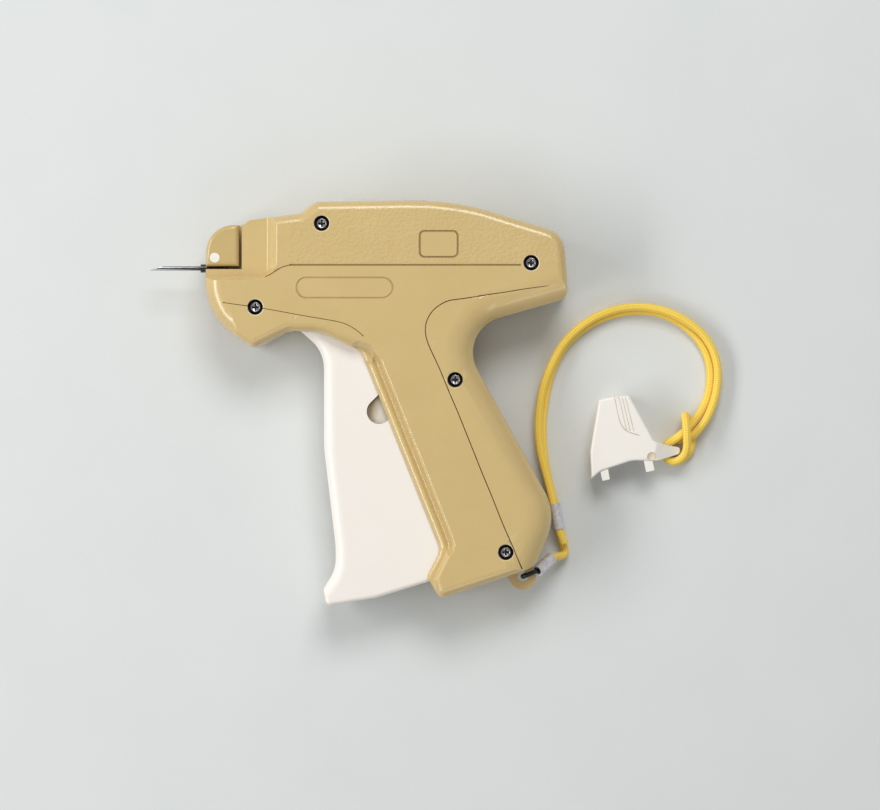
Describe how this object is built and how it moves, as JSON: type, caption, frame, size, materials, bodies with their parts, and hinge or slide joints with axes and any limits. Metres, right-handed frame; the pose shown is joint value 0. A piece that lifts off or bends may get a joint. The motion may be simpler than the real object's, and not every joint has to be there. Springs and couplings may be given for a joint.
{
  "type": "garment tag attacher",
  "caption": "Hand-held garment tag attacher with hollow needle, squeeze trigger, two-shell pistol housing, lanyard cord and needle cap.",
  "frame": {"origin": "on the rest face, the outer face of the right shell, under the grip screw that the drive lever turns on", "axes": "+X from the needle to the tail, +Y from the grip to the top, +Z out of the left side; the tool lies on its right side"},
  "size_m": [0.204, 0.1428, 0.027],
  "materials": {
    "tan_housing": "fine satin, moulded",
    "screw_steel": "plated",
    "needle_steel": "polished",
    "needle_base_plastic": "satin",
    "lock_plastic": "satin",
    "blade_steel": "ground",
    "ivory_plastic": "satin",
    "pin_steel": "ground",
    "white_plastic": "satin",
    "spring_steel": "drawn wire",
    "cord_yellow": "braided",
    "ferrule_metal": "crimped",
    "loop_black": "satin",
    "cap_white": "satin"
  },
  "bodies": {
    "root": {"left_shell": "tan_housing", "right_shell": "tan_housing", "needle_cover": "tan_housing", "housing_screws": "screw_steel", "needle": "needle_steel", "needle_hub": "needle_base_plastic", "cutter_blade": "blade_steel", "trigger_pivot_pin": "pin_steel", "return_spring": "spring_steel", "check_spring": "spring_steel", "lanyard_cord": "cord_yellow", "upper_ferrule": "ferrule_metal", "lower_ferrule": "ferrule_metal", "lanyard_loop": "loop_black", "needle_cap": "cap_white"},
    "trigger": {"trigger": "ivory_plastic", "trigger_cross_pin": "pin_steel", "feed_pawl": "spring_steel"},
    "lever": {"drive_lever": "white_plastic"},
    "plunger": {"plunger": "white_plastic", "push_rod": "pin_steel"},
    "wheel": {"feed_wheel": "white_plastic"},
    "lock": {"needle_lock": "lock_plastic"}
  },
  "joints": [
    {"name": "trigger_pull", "type": "hinge", "parent": "root", "child": "trigger", "pos_m": [-0.0568, 0.02414, 0.0135], "axis": [0, 0, 1], "range_deg": [0, 22], "stiffness_Nm_per_rad": 0.6, "springref_deg": -14.32},
    {"name": "lever_swing", "type": "hinge", "parent": "root", "child": "lever", "pos_m": [0, 0, 0.0135], "axis": [0, 0, 1], "range_deg": [-0.2, 44.7], "deforming": ["return_spring"]},
    {"name": "plunger_slide", "type": "slide", "parent": "root", "child": "plunger", "axis": [-1, 0, 0], "range_m": [-0.0001, 0.03009]},
    {"name": "feed_wheel_turn", "type": "hinge", "parent": "root", "child": "wheel", "pos_m": [-0.07025, 0.02552, 0.0116], "axis": [0, 0, 1], "range_deg": [-30.2, 0.2]},
    {"name": "needle_lock_turn", "type": "hinge", "parent": "root", "child": "lock", "pos_m": [-0.0848, 0.0431, 0.0135], "axis": [0, 0, 1], "range_deg": [0, 90]}
  ],
  "couplings": [
    {"joint": "lever_swing", "follows": "trigger_pull", "ratio": 2.0227},
    {"joint": "plunger_slide", "follows": "trigger_pull", "m_per_rad": 0.078102},
    {"joint": "feed_wheel_turn", "follows": "trigger_pull", "ratio": -1.3636}
  ]
}
